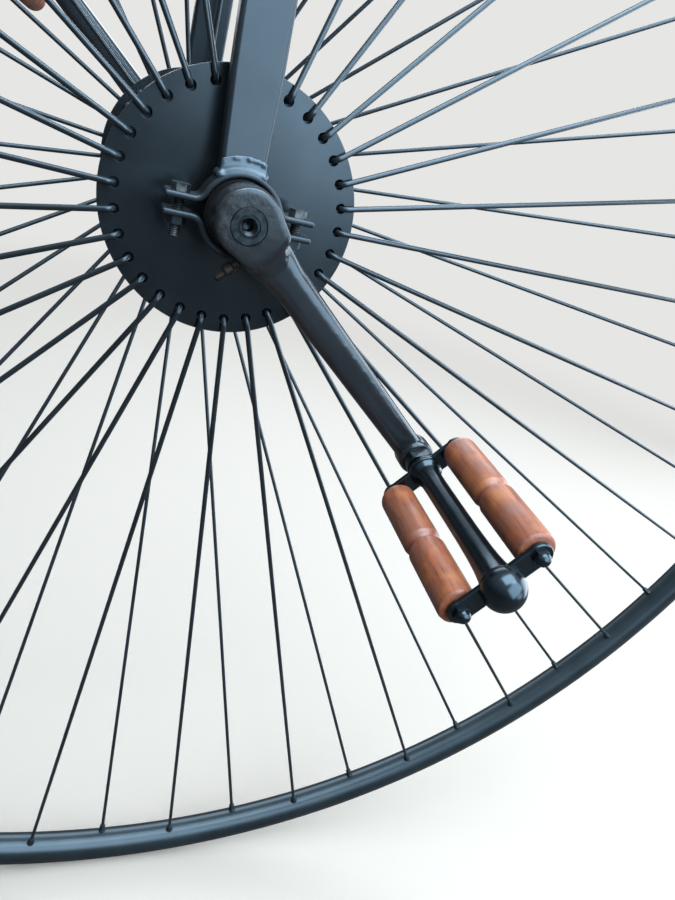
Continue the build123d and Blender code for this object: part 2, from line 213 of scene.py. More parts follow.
# Camera, in metres and degrees: where it stands, what it looks at, its roll to the left
CAMERA_AT = (-0.06152, -0.46082, -0.65971)
CAMERA_AIM = (0.15340, 0.04666, -0.89689)
CAMERA_ROLL = 15.455
CAMERA_LENS_PX = 691.6
PHOTO_HIGH_PX = 900
SENSOR_MM = 36.0

SIDES = {"left": -1, "right": 1}
joints = {joint["name"]: joint for joint in frame["joints"]}
HUB = Vector(joints["wheel_spin"]["pos_m"])


def frame_at(origin, x, z):
    """Matrix of a local frame with its origin, x and z in the part's frame."""
    z = z.normalized()
    x = (x - z * x.dot(z)).normalized()
    matrix = Matrix((x, z.cross(x), z)).transposed().to_4x4()
    matrix.translation = origin
    return matrix


# Turns a bar pulled along local z onto x, with its width along y
ALONG_X = frame_at(Vector((0, 0, 0)), Vector((0, 1, 0)), Vector((1, 0, 0)))


def wheel_frame(side):
    """Local x and y in the wheel, y up, z out of that side."""
    sign = SIDES[side]
    return frame_at(HUB, Vector((-sign, 0, 0)), Vector((0, sign, 0)))


def crank_frame(side):
    """Local x along the crank, z out of that side."""
    along = Vector(joints[f"pedal_{side}_spin"]["pos_m"]) - HUB
    along.y = 0
    return frame_at(HUB, along, Vector((0, SIDES[side], 0)))


def pedal_frame(side):
    """Local z out along the pedal's spindle from the face of the crank's eye, x near the crank's."""
    origin = Vector(joints[f"pedal_{side}_spin"]["pos_m"])
    out = Vector(joints[f"pedal_{side}_spin"]["axis"])
    out = out if out.y * SIDES[side] > 0 else -out
    turn = math.radians(PEDAL_TURN[side])
    x = crank_frame(side).to_3x3() @ Vector((math.cos(turn), math.sin(turn), 0))
    return frame_at(origin, x, out)


def moved(x, y, z):
    """Matrix that moves a piece, in millimetres."""
    return Matrix.Translation(Vector((x, y, z)) * MM)


def turned_about(axis, degrees):
    """Matrix that turns a piece about one of its local axes."""
    return Matrix.Rotation(math.radians(degrees), 4, axis)


def deselect():
    """Leave nothing selected."""
    bpy.ops.object.select_all(action="DESELECT")


def alone(obj):
    """Leave only this object selected and active."""
    deselect()
    obj.select_set(True)
    bpy.context.view_layer.objects.active = obj
    return obj


def apply_modifier(obj, kind, **settings):
    """Add a modifier with its settings and apply it."""
    modifier = obj.modifiers.new("step", kind)
    for name, value in settings.items():
        setattr(modifier, name, value)
    alone(obj)
    bpy.ops.object.modifier_apply(modifier=modifier.name)
    return obj


def round_edges(obj, width, segments=3, angle=40):
    """Round the edges that are sharper than the angle."""
    return apply_modifier(obj, "BEVEL", width=width * MM, segments=segments, limit_method="ANGLE",
                          angle_limit=math.radians(angle))


def cut(obj, cutter, operation="DIFFERENCE"):
    """Take the cutter's solid out of the object, or with INTERSECT keep what lies in both."""
    apply_modifier(obj, "BOOLEAN", operation=operation, solver="EXACT", object=cutter)
    bpy.data.objects.remove(cutter)
    return obj


def join(name, objects):
    """Join objects into the first and name it."""
    deselect()
    for obj in objects:
        obj.select_set(True)
    bpy.context.view_layer.objects.active = objects[0]
    bpy.ops.object.join()
    objects[0].name = name
    return objects[0]


def copies(name, obj, matrices):
    """Copy a finished piece once for each matrix, as one joined mesh."""
    made = []
    for matrix in matrices:
        copy = obj.copy()
        copy.data = obj.data.copy()
        copy.data.transform(matrix)
        bpy.context.scene.collection.objects.link(copy)
        made.append(copy)
    bpy.data.objects.remove(obj)
    return join(name, made)


def tidy_mesh():
    """In edit mode, merge doubles, turn every face outwards, and leave edit mode."""
    bpy.ops.mesh.select_all(action="SELECT")
    bpy.ops.mesh.remove_doubles(threshold=0.002 * MM)
    bpy.ops.mesh.normals_make_consistent(inside=False)
    bpy.ops.object.mode_set(mode="OBJECT")


def arc(centre, radius, start, stop, steps):
    """Points on an arc, from one angle in degrees to another, both ends included."""
    angles = [math.radians(start + (stop - start) * i / steps) for i in range(steps + 1)]
    return [(centre[0] + radius * math.cos(a), centre[1] + radius * math.sin(a)) for a in angles]


def circle(radius, sides, centre=(0, 0)):
    """Corners of a circle's outline, one for each side."""
    return arc(centre, radius, 0, 360 - 360 / sides, sides - 1)


def closed(outline):
    """Outline that ends where it starts."""
    return outline + outline[:1]


def extrude(step):
    """Extrude what is selected by a step in metres."""
    bpy.ops.mesh.extrude_region_move(TRANSFORM_OT_translate={"value": step})


def seed(name, location):
    """Start a piece as a small square at a place in metres, selected in edit mode."""
    bpy.ops.mesh.primitive_plane_add(size=MM, location=location)
    obj = bpy.context.object
    obj.name = name
    bpy.ops.object.transform_apply()
    bpy.ops.object.mode_set(mode="EDIT")
    bpy.ops.mesh.select_mode(type="VERT")
    bpy.ops.mesh.select_all(action="SELECT")
    return obj


def draw(name, points):
    """Extrude a vertex from point to point, in metres, and stay in edit mode."""
    obj = seed(name, points[0])
    bpy.ops.mesh.merge(type="CENTER")
    for here, there in zip(points, points[1:]):
        extrude(Vector(there) - Vector(here))
    return obj


def lathe(name, outline, steps=64):
    """Draw an outline of (radius, height) and spin it about local z."""
    obj = draw(name, [(radius * MM, 0, height * MM) for radius, height in outline])
    bpy.ops.mesh.select_all(action="SELECT")
    bpy.ops.mesh.spin(steps=steps, angle=2 * math.pi, center=(0, 0, 0), axis=(0, 0, 1))
    tidy_mesh()
    return obj


def round_bar(name, radius, low, high, steps=48):
    """Plain cylinder on local z."""
    return lathe(name, [(0, low), (radius, low), (radius, high), (0, high)], steps)


def slab(name, outline, low, *levels):
    """Fill an outline in local x and y and pull it up to each height, at a scale about local z."""
    obj = draw(name, [(x * MM, y * MM, low * MM) for x, y in closed(outline)])
    bpy.ops.mesh.select_all(action="SELECT")
    bpy.ops.mesh.remove_doubles(threshold=0.002 * MM)
    bpy.ops.mesh.edge_face_add()
    here, size = low, 1.0
    for height, scale in levels:
        extrude((0, 0, (height - here) * MM))
        grow = (scale / size, scale / size, 1)
        bpy.ops.transform.resize(value=grow, center_override=(0, 0, height * MM))
        here, size = height, scale
    tidy_mesh()
    return obj


def blade(name, sections, edge, segments):
    """Bar pulled from section to section, each a centre with a width and a depth, its corners rounded."""
    (here, size), *others = sections
    obj = seed(name, here * MM)
    bpy.ops.transform.resize(value=(size[0], size[1], 1), center_override=here * MM)
    bpy.ops.mesh.bevel(offset=edge * MM, segments=segments, affect="VERTICES")
    bpy.ops.mesh.select_all(action="SELECT")
    for there, next_size in others:
        extrude((there - here) * MM)
        grow = (next_size[0] / size[0], next_size[1] / size[1], 1)
        bpy.ops.transform.resize(value=grow, center_override=there * MM)
        here, size = there, next_size
    tidy_mesh()
    return obj


def melt(obj, voxel, smoothing):
    """Fuse overlapping solids into one skin and soften it, as forging and welding do."""
    apply_modifier(obj, "REMESH", mode="VOXEL", voxel_size=voxel * MM)
    return apply_modifier(obj, "SMOOTH", factor=0.5, iterations=smoothing)


def hex_bar(name, radius, low, high, turned_ends):
    """Hexagon bar on local z; at the ends named its corners are turned off."""
    bar = slab(name, circle(radius, 6), low, (high, 1.0))
    wide = radius * 1.1
    narrow = radius * 0.85
    drop = 0.11 * radius
    foot = [(narrow, low), (wide, low + drop)] if "low" in turned_ends else [(wide, low)]
    head = [(wide, high - drop), (narrow, high)] if "high" in turned_ends else [(wide, high)]
    return cut(bar, lathe("turning", [(0, low)] + foot + head + [(0, high)], 48), "INTERSECT")


def place(obj, matrix=Matrix.Identity(4), angle=35):
    """Shade a piece by its edges, keep its own local coordinates and put it in the part's frame."""
    alone(obj)
    bpy.ops.object.shade_smooth_by_angle(angle=math.radians(angle))
    apply_modifier(obj, "WEIGHTED_NORMAL", keep_sharp=True)
    own = obj.data.attributes.new("own", "FLOAT_VECTOR", "POINT")
    flat = [value for vertex in obj.data.vertices for value in vertex.co]
    own.data.foreach_set("vector", flat)
    obj.data.transform(matrix)
    return obj


def finish_piece(obj, name, body, slot, material, *nodes):
    """Name a piece, give it its finish, and set it on its body in place of the plain solids."""
    obj.name = name
    obj.data.name = name
    obj.data.materials.append(material)
    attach(obj, body)
    if nodes:
        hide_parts(*nodes)
    return obj


# Finishes


def linear(code):
    """Linear colour of an sRGB hex value."""
    channels = [int(code[i:i + 2], 16) / 255 for i in (1, 3, 5)]
    return [c / 12.92 if c <= 0.04045 else ((c + 0.055) / 1.055) ** 2.4 for c in channels] + [1.0]


def per_mm(size):
    """Scale of a pattern whose patches are about this many millimetres across."""
    return 1 / (size * MM)


def add(tree, kind, *values, named=None, **settings):
    """Add a shader node, a mix being one of colours. Values go to its inputs in order or by name: a hex
    colour is made linear, and another node is linked by its first output."""
    node = tree.nodes.new(f"ShaderNode{kind}")
    if kind == "Mix":
        node.data_type = "RGBA"
    for name, value in settings.items():
        setattr(node, name, value)
    free = [socket for socket in node.inputs if socket.enabled]
    given = list(zip(free, values))
    given += [(node.inputs[name], value) for name, value in (named or {}).items()]
    for socket, value in given:
        if isinstance(value, str):
            value = linear(value)
        if isinstance(value, bpy.types.Node):
            value = next(output for output in value.outputs if output.enabled)
        if isinstance(value, bpy.types.NodeSocket):
            tree.links.new(value, socket)
        else:
            socket.default_value = value
    return node


def new_material(name):
    """Empty material and its node tree."""
    material = bpy.data.materials.new(name)
    material.use_nodes = True
    material.node_tree.nodes.clear()
    return material, material.node_tree


def satin_black_paint(name, dark, light, roughness, sheen="#b9d6ea", level=0.75, grit=1.1):
    """Black enamel on steel, left satin: near black in shade, slate blue where it meets the sky."""
    material, tree = new_material(name)
    point = add(tree, "TexCoord").outputs["Object"]
    patches = add(tree, "TexNoise", point, per_mm(30), 3.0)
    clouds = add(tree, "MapRange", patches, 0.3, 0.7)
    colour = add(tree, "Mix", clouds, dark, light)
    wiped = add(tree, "TexNoise", point, per_mm(14), 3.0)
    rough = add(tree, "MapRange", wiped, 0.3, 0.7, roughness - 0.015, roughness + 0.025)
    peel = add(tree, "TexNoise", point, per_mm(grit), 2.0)
    relief = add(tree, "Bump", named={"Height": peel, "Distance": 0.04 * MM, "Strength": 0.2})
    paint = add(tree, "BsdfPrincipled", named={
        "Base Color": colour, "Roughness": rough, "IOR": 1.5, "Specular IOR Level": level,
        "Specular Tint": sheen, "Normal": relief})
    add(tree, "OutputMaterial", paint)
    return material


def turned_steel(name, dark, light, roughness, mark=0.7):
    """Turned or plated steel: dull grey metal with fine tool marks and stains in its pores."""
    material, tree = new_material(name)
    point = add(tree, "Attribute", attribute_name="own").outputs["Vector"]
    blots = add(tree, "TexNoise", point, per_mm(4), 4.0, 0.6)
    stains = add(tree, "MapRange", blots, 0.38, 0.66)
    colour = add(tree, "Mix", stains, light, dark)
    marks = add(tree, "TexNoise", point, per_mm(mark), 2.0)
    rough = add(tree, "MapRange", marks, 0.3, 0.7, roughness - 0.08, roughness + 0.12)
    relief = add(tree, "Bump", named={"Height": marks, "Distance": 0.02 * MM, "Strength": 0.5})
    steel = add(tree, "BsdfPrincipled", named={
        "Base Color": colour, "Metallic": 1.0, "Roughness": rough, "Normal": relief})
    add(tree, "OutputMaterial", steel)
    return material


def sealed_bearing(name):
    """Steel races coloured near black as painted shade for the shadow they sit in, with a matt nitrile
    shield between them.
    """
    material, tree = new_material(name)
    point = add(tree, "Attribute", attribute_name="own").outputs["Vector"]
    across = add(tree, "VectorMath", point, (1, 1, 0), operation="MULTIPLY")
    radius = add(tree, "VectorMath", across, operation="LENGTH").outputs["Value"]
    past_inner = add(tree, "Math", radius, 11.3 * MM, operation="GREATER_THAN")
    before_outer = add(tree, "Math", radius, 15.5 * MM, operation="LESS_THAN")
    shield = add(tree, "Math", past_inner, before_outer, operation="MULTIPLY")
    # The races' dark grey is painted shade; the shield's black is its own colour
    colour = add(tree, "Mix", shield, "#2e3133", "#0c0d0e")
    metal = add(tree, "Math", 1.0, shield, operation="SUBTRACT")
    rough = add(tree, "MapRange", shield, 0.0, 1.0, 0.45, 0.6)
    ring = add(tree, "BsdfPrincipled", named={
        "Base Color": colour, "Metallic": metal, "Roughness": rough, "IOR": 1.5})
    add(tree, "OutputMaterial", ring)
    return material


def worn_forging(name):
    """Drop-forged steel under old black enamel: the boss is pitted and worn to brown in patches, the arm
    smooth and slate blue, with a painted warm reflection in red-brown along its lower edge."""
    material, tree = new_material(name)
    point = add(tree, "Attribute", attribute_name="own").outputs["Vector"]
    place_of = add(tree, "SeparateXYZ", point)
    near_boss = add(tree, "MapRange", place_of.outputs["X"], -4 * MM, 20 * MM, 1.0, 0.0)
    blotches = add(tree, "TexNoise", point, per_mm(5), 5.0, 0.62)
    patchy = add(tree, "MapRange", blotches, 0.36, 0.62)
    worn = add(tree, "Math", near_boss, patchy, operation="MULTIPLY")
    streaks = add(tree, "TexNoise", point, per_mm(11), 3.0)
    coat = add(tree, "Mix", streaks, "#14171a", "#222529")
    brown = add(tree, "Mix", blotches, "#151719", "#2e2c2a")
    aged = add(tree, "Mix", worn, coat, brown)
    # Painted reflection: red-brown laid along the arm's lower edge stands in for the warm ground it reflects
    lower_edge = add(tree, "MapRange", place_of.outputs["Y"], -9 * MM, -4.5 * MM, 0.8, 0.0)
    on_arm = add(tree, "MapRange", place_of.outputs["X"], 17 * MM, 30 * MM)
    below = add(tree, "Math", lower_edge, on_arm, operation="MULTIPLY")
    reflection_streaks = add(tree, "MapRange", streaks, 0.35, 0.55)
    painted_reflection = add(tree, "Math", below, reflection_streaks, operation="MULTIPLY")
    colour = add(tree, "Mix", painted_reflection, aged, "#3f2c28")
    rough = add(tree, "MapRange", worn, 0.0, 1.0, 0.18, 0.34)
    hammer = add(tree, "TexNoise", point, per_mm(3.2), 4.0, 0.6)
    pits = add(tree, "MapRange", hammer, 0.3, 0.6)
    rugged = add(tree, "Math", near_boss, pits, operation="MULTIPLY")
    relief = add(tree, "Bump", named={"Height": rugged, "Distance": 0.12 * MM, "Strength": 0.3})
    steel = add(tree, "BsdfPrincipled", named={
        "Base Color": colour, "Roughness": rough, "IOR": 1.5, "Specular IOR Level": 0.9,
        "Specular Tint": "#c0d9ea", "Normal": relief})
    add(tree, "OutputMaterial", steel)
    return material


def gloss_enamel(name):
    """Gloss black stoving enamel on the pedal: deep black, wet-looking, slightly uneven where it ran."""
    material, tree = new_material(name)
    point = add(tree, "Attribute", attribute_name="own").outputs["Vector"]
    runs = add(tree, "TexNoise", point, per_mm(7), 3.0)
    colour = add(tree, "Mix", runs, "#06080a", "#0f1317")
    rough = add(tree, "MapRange", runs, 0.3, 0.7, 0.2, 0.26)
    relief = add(tree, "Bump", named={"Height": runs, "Distance": 0.08 * MM, "Strength": 0.1})
    enamel = add(tree, "BsdfPrincipled", named={
        "Base Color": colour, "Roughness": rough, "IOR": 1.5, "Specular IOR Level": 1.0,
        "Specular Tint": "#aed3ea", "Normal": relief})
    add(tree, "OutputMaterial", enamel)
    return material


def turned_wood(name):
    """Turned hardwood, stained and oiled: orange-brown, dark pores along it, greyed where handled."""
    material, tree = new_material(name)
    point = add(tree, "Attribute", attribute_name="own").outputs["Vector"]
    along = add(tree, "VectorMath", point, (1, 1, 1 / 12), operation="MULTIPLY")
    grain = add(tree, "TexNoise", along, per_mm(2.4), 5.0, 0.6)
    figure = add(tree, "MapRange", grain, 0.3, 0.7)
    base = add(tree, "Mix", figure, "#97573a", "#6b3925")
    pores = add(tree, "TexNoise", along, per_mm(0.8), 3.0, 0.6)
    pore = add(tree, "MapRange", pores, 0.54, 0.7, 0.0, 0.75)
    pored = add(tree, "Mix", pore, base, "#401f13")
    patches = add(tree, "TexNoise", point, per_mm(14), 3.0)
    bright = add(tree, "MapRange", patches, 0.5, 0.7, 0.0, 0.6)
    warm = add(tree, "Mix", bright, pored, "#a4693c")
    handled = add(tree, "MapRange", patches, 0.3, 0.52, 0.6, 0.0)
    grey = add(tree, "Mix", handled, warm, "#785a4e")
    height = add(tree, "SeparateXYZ", point).outputs["Z"]
    off_groove = add(tree, "Math", height, GROOVE_AT * MM, operation="SUBTRACT")
    away = add(tree, "Math", off_groove, operation="ABSOLUTE")
    in_groove = add(tree, "MapRange", away, 1.4 * MM, 2.4 * MM, 0.75, 0.0)
    cut_wood = add(tree, "Mix", in_groove, grey, "#7e3f33")
    rough = add(tree, "MapRange", patches, 0.3, 0.7, 0.34, 0.44)
    relief = add(tree, "Bump", named={"Height": pores, "Distance": 0.12 * MM, "Strength": 0.4})
    wood = add(tree, "BsdfPrincipled", named={
        "Base Color": cut_wood, "Roughness": rough, "IOR": 1.47, "Specular IOR Level": 1.0,
        "Specular Tint": "#dce6ee", "Normal": relief})
    add(tree, "OutputMaterial", wood)
    return material


def moulded_rubber(name):
    """Solid tyre rubber: matt black, greyed and gritty where it rolls."""
    material, tree = new_material(name)
    point = add(tree, "TexCoord").outputs["Object"]
    dust = add(tree, "TexNoise", point, per_mm(22), 5.0, 0.6)
    colour = add(tree, "Mix", dust, "#141415", "#2b2a29")
    grit = add(tree, "TexNoise", point, per_mm(0.9), 2.0)
    rough = add(tree, "MapRange", dust, 0.3, 0.7, 0.6, 0.75)
    relief = add(tree, "Bump", named={"Height": grit, "Distance": 0.06 * MM, "Strength": 0.6})
    rubber = add(tree, "BsdfPrincipled", named={
        "Base Color": colour, "Roughness": rough, "IOR": 1.52, "Normal": relief})
    add(tree, "OutputMaterial", rubber)
    return material


FORK_PAINT = satin_black_paint("satin_black_fork_enamel", "#15191d", "#1f252a", 0.33)
DISC_PAINT = satin_black_paint("satin_black_disc_enamel", "#0c0f11", "#14181b", 0.24, level=1.0)
RIM_PAINT = satin_black_paint("satin_black_rim_enamel", "#12181b", "#1d2529", 0.3, level=1.0)
SPOKE_PAINT = satin_black_paint("black_painted_wire", "#14181b", "#20262a", 0.3, level=1.0, grit=9.0)
# The weld's enamel is the fork's own, made lighter and bluer here as a painted highlight for the sky it
# faces
WELD_PAINT_HIGHLIT = satin_black_paint("enamel_over_weld", "#27313a", "#36424c", 0.28, level=1.0)
CRANK_FORGING = worn_forging("worn_enamelled_forging")
PEDAL_ENAMEL = gloss_enamel("gloss_black_stoving_enamel")
GRIP_WOOD = turned_wood("turned_stained_hardwood")
TYRE_RUBBER = moulded_rubber("moulded_solid_rubber")
ZINC = turned_steel("dull_zinc_plate", "#2c3133", "#6d7678", 0.45)
RUSTED_STEEL = turned_steel("rusted_screw_steel", "#1b1918", "#474341", 0.5)
AXLE_STEEL = turned_steel("oiled_axle_steel", "#20262b", "#3d474e", 0.36)
TUBE_STEEL = turned_steel("drawn_tube_steel", "#77797a", "#a9abac", 0.32)
BEARING = sealed_bearing("races_in_painted_shade_and_nitrile_shield")


# Wheel


def tyre():
    """Solid round rubber."""
    outline = arc((TYRE_CENTRE_R, 0), TYRE_R, 0, 360, TYRE_SIDES)
    obj = place(lathe("tyre_ring", outline, RING_STEPS), wheel_frame("left"))
    finish_piece(obj, "tyre_solid", "wheel", "tyre_rubber", TYRE_RUBBER, "tyre")


def rim():
    """Round tube with a hollow rolled in for the tyre."""
    half_mouth = math.degrees(math.acos(LIP_STAND / RIM_R))
    outline = arc((RIM_CENTRE_R, 0), RIM_R, half_mouth, 360 - half_mouth, RIM_SIDES)
    reach = RIM_CENTRE_R + LIP_STAND - TYRE_CENTRE_R
    half_seat = math.degrees(math.acos(reach / SEAT_R))
    outline += arc((TYRE_CENTRE_R, 0), SEAT_R, 360 - half_seat, half_seat, SEAT_SIDES)
    obj = lathe("rim_ring", closed(outline), RING_STEPS)
    finish_piece(place(obj, wheel_frame("left")), "rim_tube", "wheel", "rim_paint", RIM_PAINT, "rim")


def wire_spoke():
    """One wire: head behind the disc, hook, and the straight run to the rim, as one tube."""
    hook = Vector((SPOKE_CIRCLE_R, 0, DISC_HALF + SPOKE_LIFT))
    seat = Vector((NIPPLE_SEAT_R, 0, NIPPLE_SIDE))
    run = (seat - hook).normalized()
    turn = run.angle(Vector((0, 0, 1)))
    tangent = SPOKE_BEND_R * math.tan(turn / 2)
    low = DISC_HALF - DISC_T - SPOKE_THROUGH
    under = SPOKE_THROUGH - FIT
    head = [(0, 0), (SPOKE_HEAD_FLAT_R, 0), (SPOKE_HEAD_R, SPOKE_HEAD_DOME), (SPOKE_HEAD_R, under),
            (SPOKE_R, under), (SPOKE_R, hook.z - tangent - low)]
    wire = lathe("wire", head, 12)
    wire.data.transform(moved(SPOKE_CIRCLE_R, 0, low))
    top = max(vertex.co.z for vertex in wire.data.vertices)
    for piece in (*wire.data.polygons, *wire.data.edges, *wire.data.vertices):
        piece.select = False
    for edge in wire.data.edges:
        edge.select = all(wire.data.vertices[i].co.z > top - 0.01 * MM for i in edge.vertices)
    alone(wire)
    bpy.ops.object.mode_set(mode="EDIT")
    bpy.ops.mesh.select_mode(type="EDGE")
    centre = Vector((SPOKE_CIRCLE_R + SPOKE_BEND_R, 0, hook.z - tangent)) * MM
    bpy.ops.mesh.spin(steps=7, angle=-turn, center=centre, axis=(0, 1, 0))
    length = (seat - hook).length - tangent - WIRE_SHORT
    extrude(run * length * MM)
    bpy.ops.mesh.edge_face_add()
    bpy.ops.mesh.select_mode(type="VERT")
    tidy_mesh()
    return wire, seat, run


def nipple(seat, run):
    """Short sleeve with a domed foot where the wire enters the rim."""
    sleeve = lathe("sleeve", NIPPLE, 12)
    sleeve.data.transform(frame_at(seat * MM, Vector((0, 1, 0)), -run))
    return sleeve


def round_hub(side):
    """Turns that take a piece at the first spoke to every spoke of one side."""
    pitch = 360 / SPOKES_A_SIDE
    return [turned_about("Z", SPOKE_PHASE[side] + pitch * i) for i in range(SPOKES_A_SIDE)]


def spokes(side):
    """All of one side's spokes, copied round the hub."""
    wire, seat, run = wire_spoke()
    one = join("one_spoke", [wire, nipple(seat, run)])
    obj = place(copies(f"spoke_set_{side}", one, round_hub(side)), wheel_frame(side), 50)
    finish_piece(obj, f"spoke_wires_{side}", "wheel", "spoke_paint", SPOKE_PAINT, f"spokes_{side}")


def disc(side):
    """Flat steel disc, drilled for the spokes, with its edges broken."""
    low = DISC_HALF - DISC_T
    through = (DISC_HALF + PAST, 1.0)
    plate = slab("plate", circle(DISC_R, 180), low, (DISC_HALF, 1.0))
    drill = slab("drill", circle(SPOKE_HOLE_R, 20, (SPOKE_CIRCLE_R, 0)), low - PAST, through)
    cut(plate, copies("drills", drill, round_hub(side)))
    cut(plate, slab("axle_drill", circle(AXLE_R + FIT, 48), low - PAST, through))
    round_edges(plate, DISC_EDGE)
    obj = place(plate, wheel_frame(side))
    finish_piece(obj, f"disc_plate_{side}", "wheel", "disc_paint", DISC_PAINT, f"hub_disc_{side}")


def axle():
    """Turned axle, shouldered against its bearings, with a centre hole in each end."""
    end = CRANK_FACE
    shoulder = STRAP_Y - BEARING_W / 2 - FIT
    half = [(radius, end - depth) for radius, depth in AXLE_CENTRE]
    half += [(AXLE_R, end - AXLE_EDGE), (AXLE_R, shoulder), (AXLE_SHOULDER_R, shoulder),
             (AXLE_SHOULDER_R, DISC_HALF + FIT), (AXLE_R, DISC_HALF)]
    outline = half + [(radius, -height) for radius, height in reversed(half)]
    obj = place(lathe("axle_bar", outline, 48), wheel_frame("left"))
    finish_piece(obj, "axle_turned", "wheel", "axle_steel", AXLE_STEEL, "axle")


def hub_tube():
    """The hub's tube keeps its solid and takes its paint."""
    node = frame["nodes"]["hub_barrel"]
    node.data.materials.clear()
    node.data.materials.append(DISC_PAINT)


# Fork


def leg(side):
    """Flat blade from the crown to the clamp, with rounded edges, coped over the strap."""
    sign = SIDES[side]
    hub_z = HUB.z / MM
    low = Vector((0, sign * STRAP_Y, hub_z + LEG_FOOT_RISE))
    top = Vector((0, sign * LEG_TOP_Y, CROWN_FOOT))
    waist = low.lerp(top, (LEG_WAIST_RISE - LEG_FOOT_RISE) / (top.z - low.z))
    sections = [(low, LEG_FOOT), (waist, LEG_WAIST), (top, LEG_TOP)]
    bar = blade("bar", sections, LEG_EDGE_R, 5)
    reach = 2 * STRAP_W
    band = circle(BEARING_R + STRAP_T + FIT, 72)
    cope = slab("cope", band, STRAP_Y - reach, (STRAP_Y + reach, 1.0))
    cope.data.transform(wheel_frame(side))
    cut(bar, cope)
    obj = place(bar)
    finish_piece(obj, f"leg_blade_{side}", "fork", "fork_paint", FORK_PAINT, f"fork_leg_{side}")


def weld_dabs(middle):
    """Dabs of weld round the blade's foot: along the fillet's top, the blade's back and its sides."""
    band = BEARING_R + STRAP_T
    half_wide = LEG_FOOT[0] / 2
    face = STRAP_Y + LEG_FOOT[1] / 2
    back = STRAP_Y - LEG_FOOT[1] / 2
    dabs = []
    for i in range(DABS_ACROSS):
        x = middle + (half_wide - 1.4) * (2 * i / (DABS_ACROSS - 1) - 1)
        on_band = math.sqrt(band ** 2 - x ** 2)
        dabs.append((x, on_band + WELD_RISE - 1.2, face - 1.1, FLECK_R))
        dabs.append((x, on_band + 0.4, back + 0.2, BACK_DAB_R))
    for i in range(DABS_DEEP):
        out = back + (LEG_FOOT[1] + 1.0) * i / (DABS_DEEP - 1)
        for x in (middle - half_wide + 0.2, middle + half_wide - 0.2):
            dabs.append((x, math.sqrt(band ** 2 - x ** 2) + 0.6, out, SIDE_DAB_R))
    return dabs


def fillet(middle):
    """Concave weld turned round the strap, from its edge up the blade's face, cut to the blade's width."""
    band = BEARING_R + STRAP_T
    face = STRAP_Y + LEG_FOOT[1] / 2
    edge = STRAP_Y + STRAP_W / 2
    top = band + WELD_RISE
    outline = [(band - 1.5, face - 2), (band - 1.5, edge - 0.6), (band - 0.4, edge - 0.2),
               (band + 0.6, edge - 0.5), (band + 1.9, face + 1.1), (band + 3.4, face + 0.45),
               (top, face - 0.1), (top, face - 2)]
    ring = lathe("ring", closed(outline), 120)
    reach = LEG_FOOT[0] / 2 + 0.4
    low, high = middle - reach, middle + reach
    corners = [(low, 0), (high, 0), (high, 2 * band), (low, 2 * band)]
    return cut(ring, slab("sector", corners, face - 4, (edge + 4, 1.0)), "INTERSECT")


def weld(side):
    """Weld between blade and strap, its dabs melted into the fillet."""
    chance = random.Random(7)
    middle = SIDES[side] * HUB.x / MM
    made = [fillet(middle)]
    for x, y, z, radius in weld_dabs(middle):
        stray = Vector([chance.uniform(-DAB_STRAY, DAB_STRAY) for _ in range(3)])
        spot = Vector((x, y, z)) + stray
        size = radius * chance.uniform(*DAB_SHARE) * MM
        bpy.ops.mesh.primitive_ico_sphere_add(subdivisions=2, radius=size, location=spot * MM)
        bpy.ops.object.transform_apply()
        made.append(bpy.context.object)
    obj = place(melt(join("dabs", made), WELD_GRAIN, WELD_SOFTENING), wheel_frame(side), 80)
    finish_piece(obj, f"weld_bead_{side}", "fork", "fork_paint", WELD_PAINT_HIGHLIT)


def strap_outline():
    """Half clamp bent from strip: an arc over the bearing that sweeps out into two flat ears."""
    inner = BEARING_R + FIT
    outer = BEARING_R + STRAP_T
    ear_low = STRAP_SPLIT / 2
    bend_y = ear_low + STRAP_T + EAR_BEND_R
    bend_x = math.sqrt((outer + EAR_BEND_R) ** 2 - bend_y ** 2)
    lean = math.degrees(math.atan2(bend_y, bend_x))
    big = EAR_BEND_R + STRAP_T - FIT
    right = arc((bend_x, bend_y), EAR_BEND_R, 270, 180 + lean, 6)
    over = arc((0, 0), outer, lean, 180 - lean, 32)[1:-1]
    left = [(-x, y) for x, y in reversed(right)]
    right_low = arc((bend_x, bend_y), big, 180 + lean, 270, 6)
    under = arc((0, 0), inner, 180 - lean, lean, 32)[1:-1]
    left_low = [(-x, y) for x, y in reversed(right_low)]
    left_tip = [(-EAR_REACH, ear_low + STRAP_T), (-EAR_REACH, ear_low)]
    top = [(EAR_REACH, ear_low + STRAP_T)] + right + over + left
    return top + left_tip + left_low + under + right_low + [(EAR_REACH, ear_low)]


def bolt_places():
    """Where one side's bolts stand, local z along each bolt and its head up."""
    return [moved(reach, 0, STRAP_Y) @ turned_about("X", -90) for reach in (-BOLT_REACH, BOLT_REACH)]


def straps(which, turn):
    """The two upper or the two lower clamp halves."""
    made = []
    for side in SIDES:
        band = slab("band", strap_outline(), STRAP_Y - STRAP_W / 2, (STRAP_Y + STRAP_W / 2, 1.0))
        for matrix in bolt_places():
            drill = round_bar("drill", BOLT_HOLE_R, 0, 4 * STRAP_T, 24)
            drill.data.transform(matrix)
            cut(band, drill)
        round_edges(band, STRAP_EDGE, 4, 50)
        band.data.transform(turned_about("Z", turn))
        made.append(place(band, wheel_frame(side)))
    finish_piece(join("bands", made), f"clamp_{which}", "fork", "fork_paint", FORK_PAINT, f"{which}_straps")


def threaded(radius, low, high, pitch=1.0):
    """Outline of a threaded stud's side, ridge by ridge."""
    turns = int((high - low) / pitch)
    side = []
    for i in range(turns):
        side += [(radius * 0.86, low + pitch * i), (radius, low + pitch * (i + 0.5))]
    return side + [(radius * 0.8, high)]


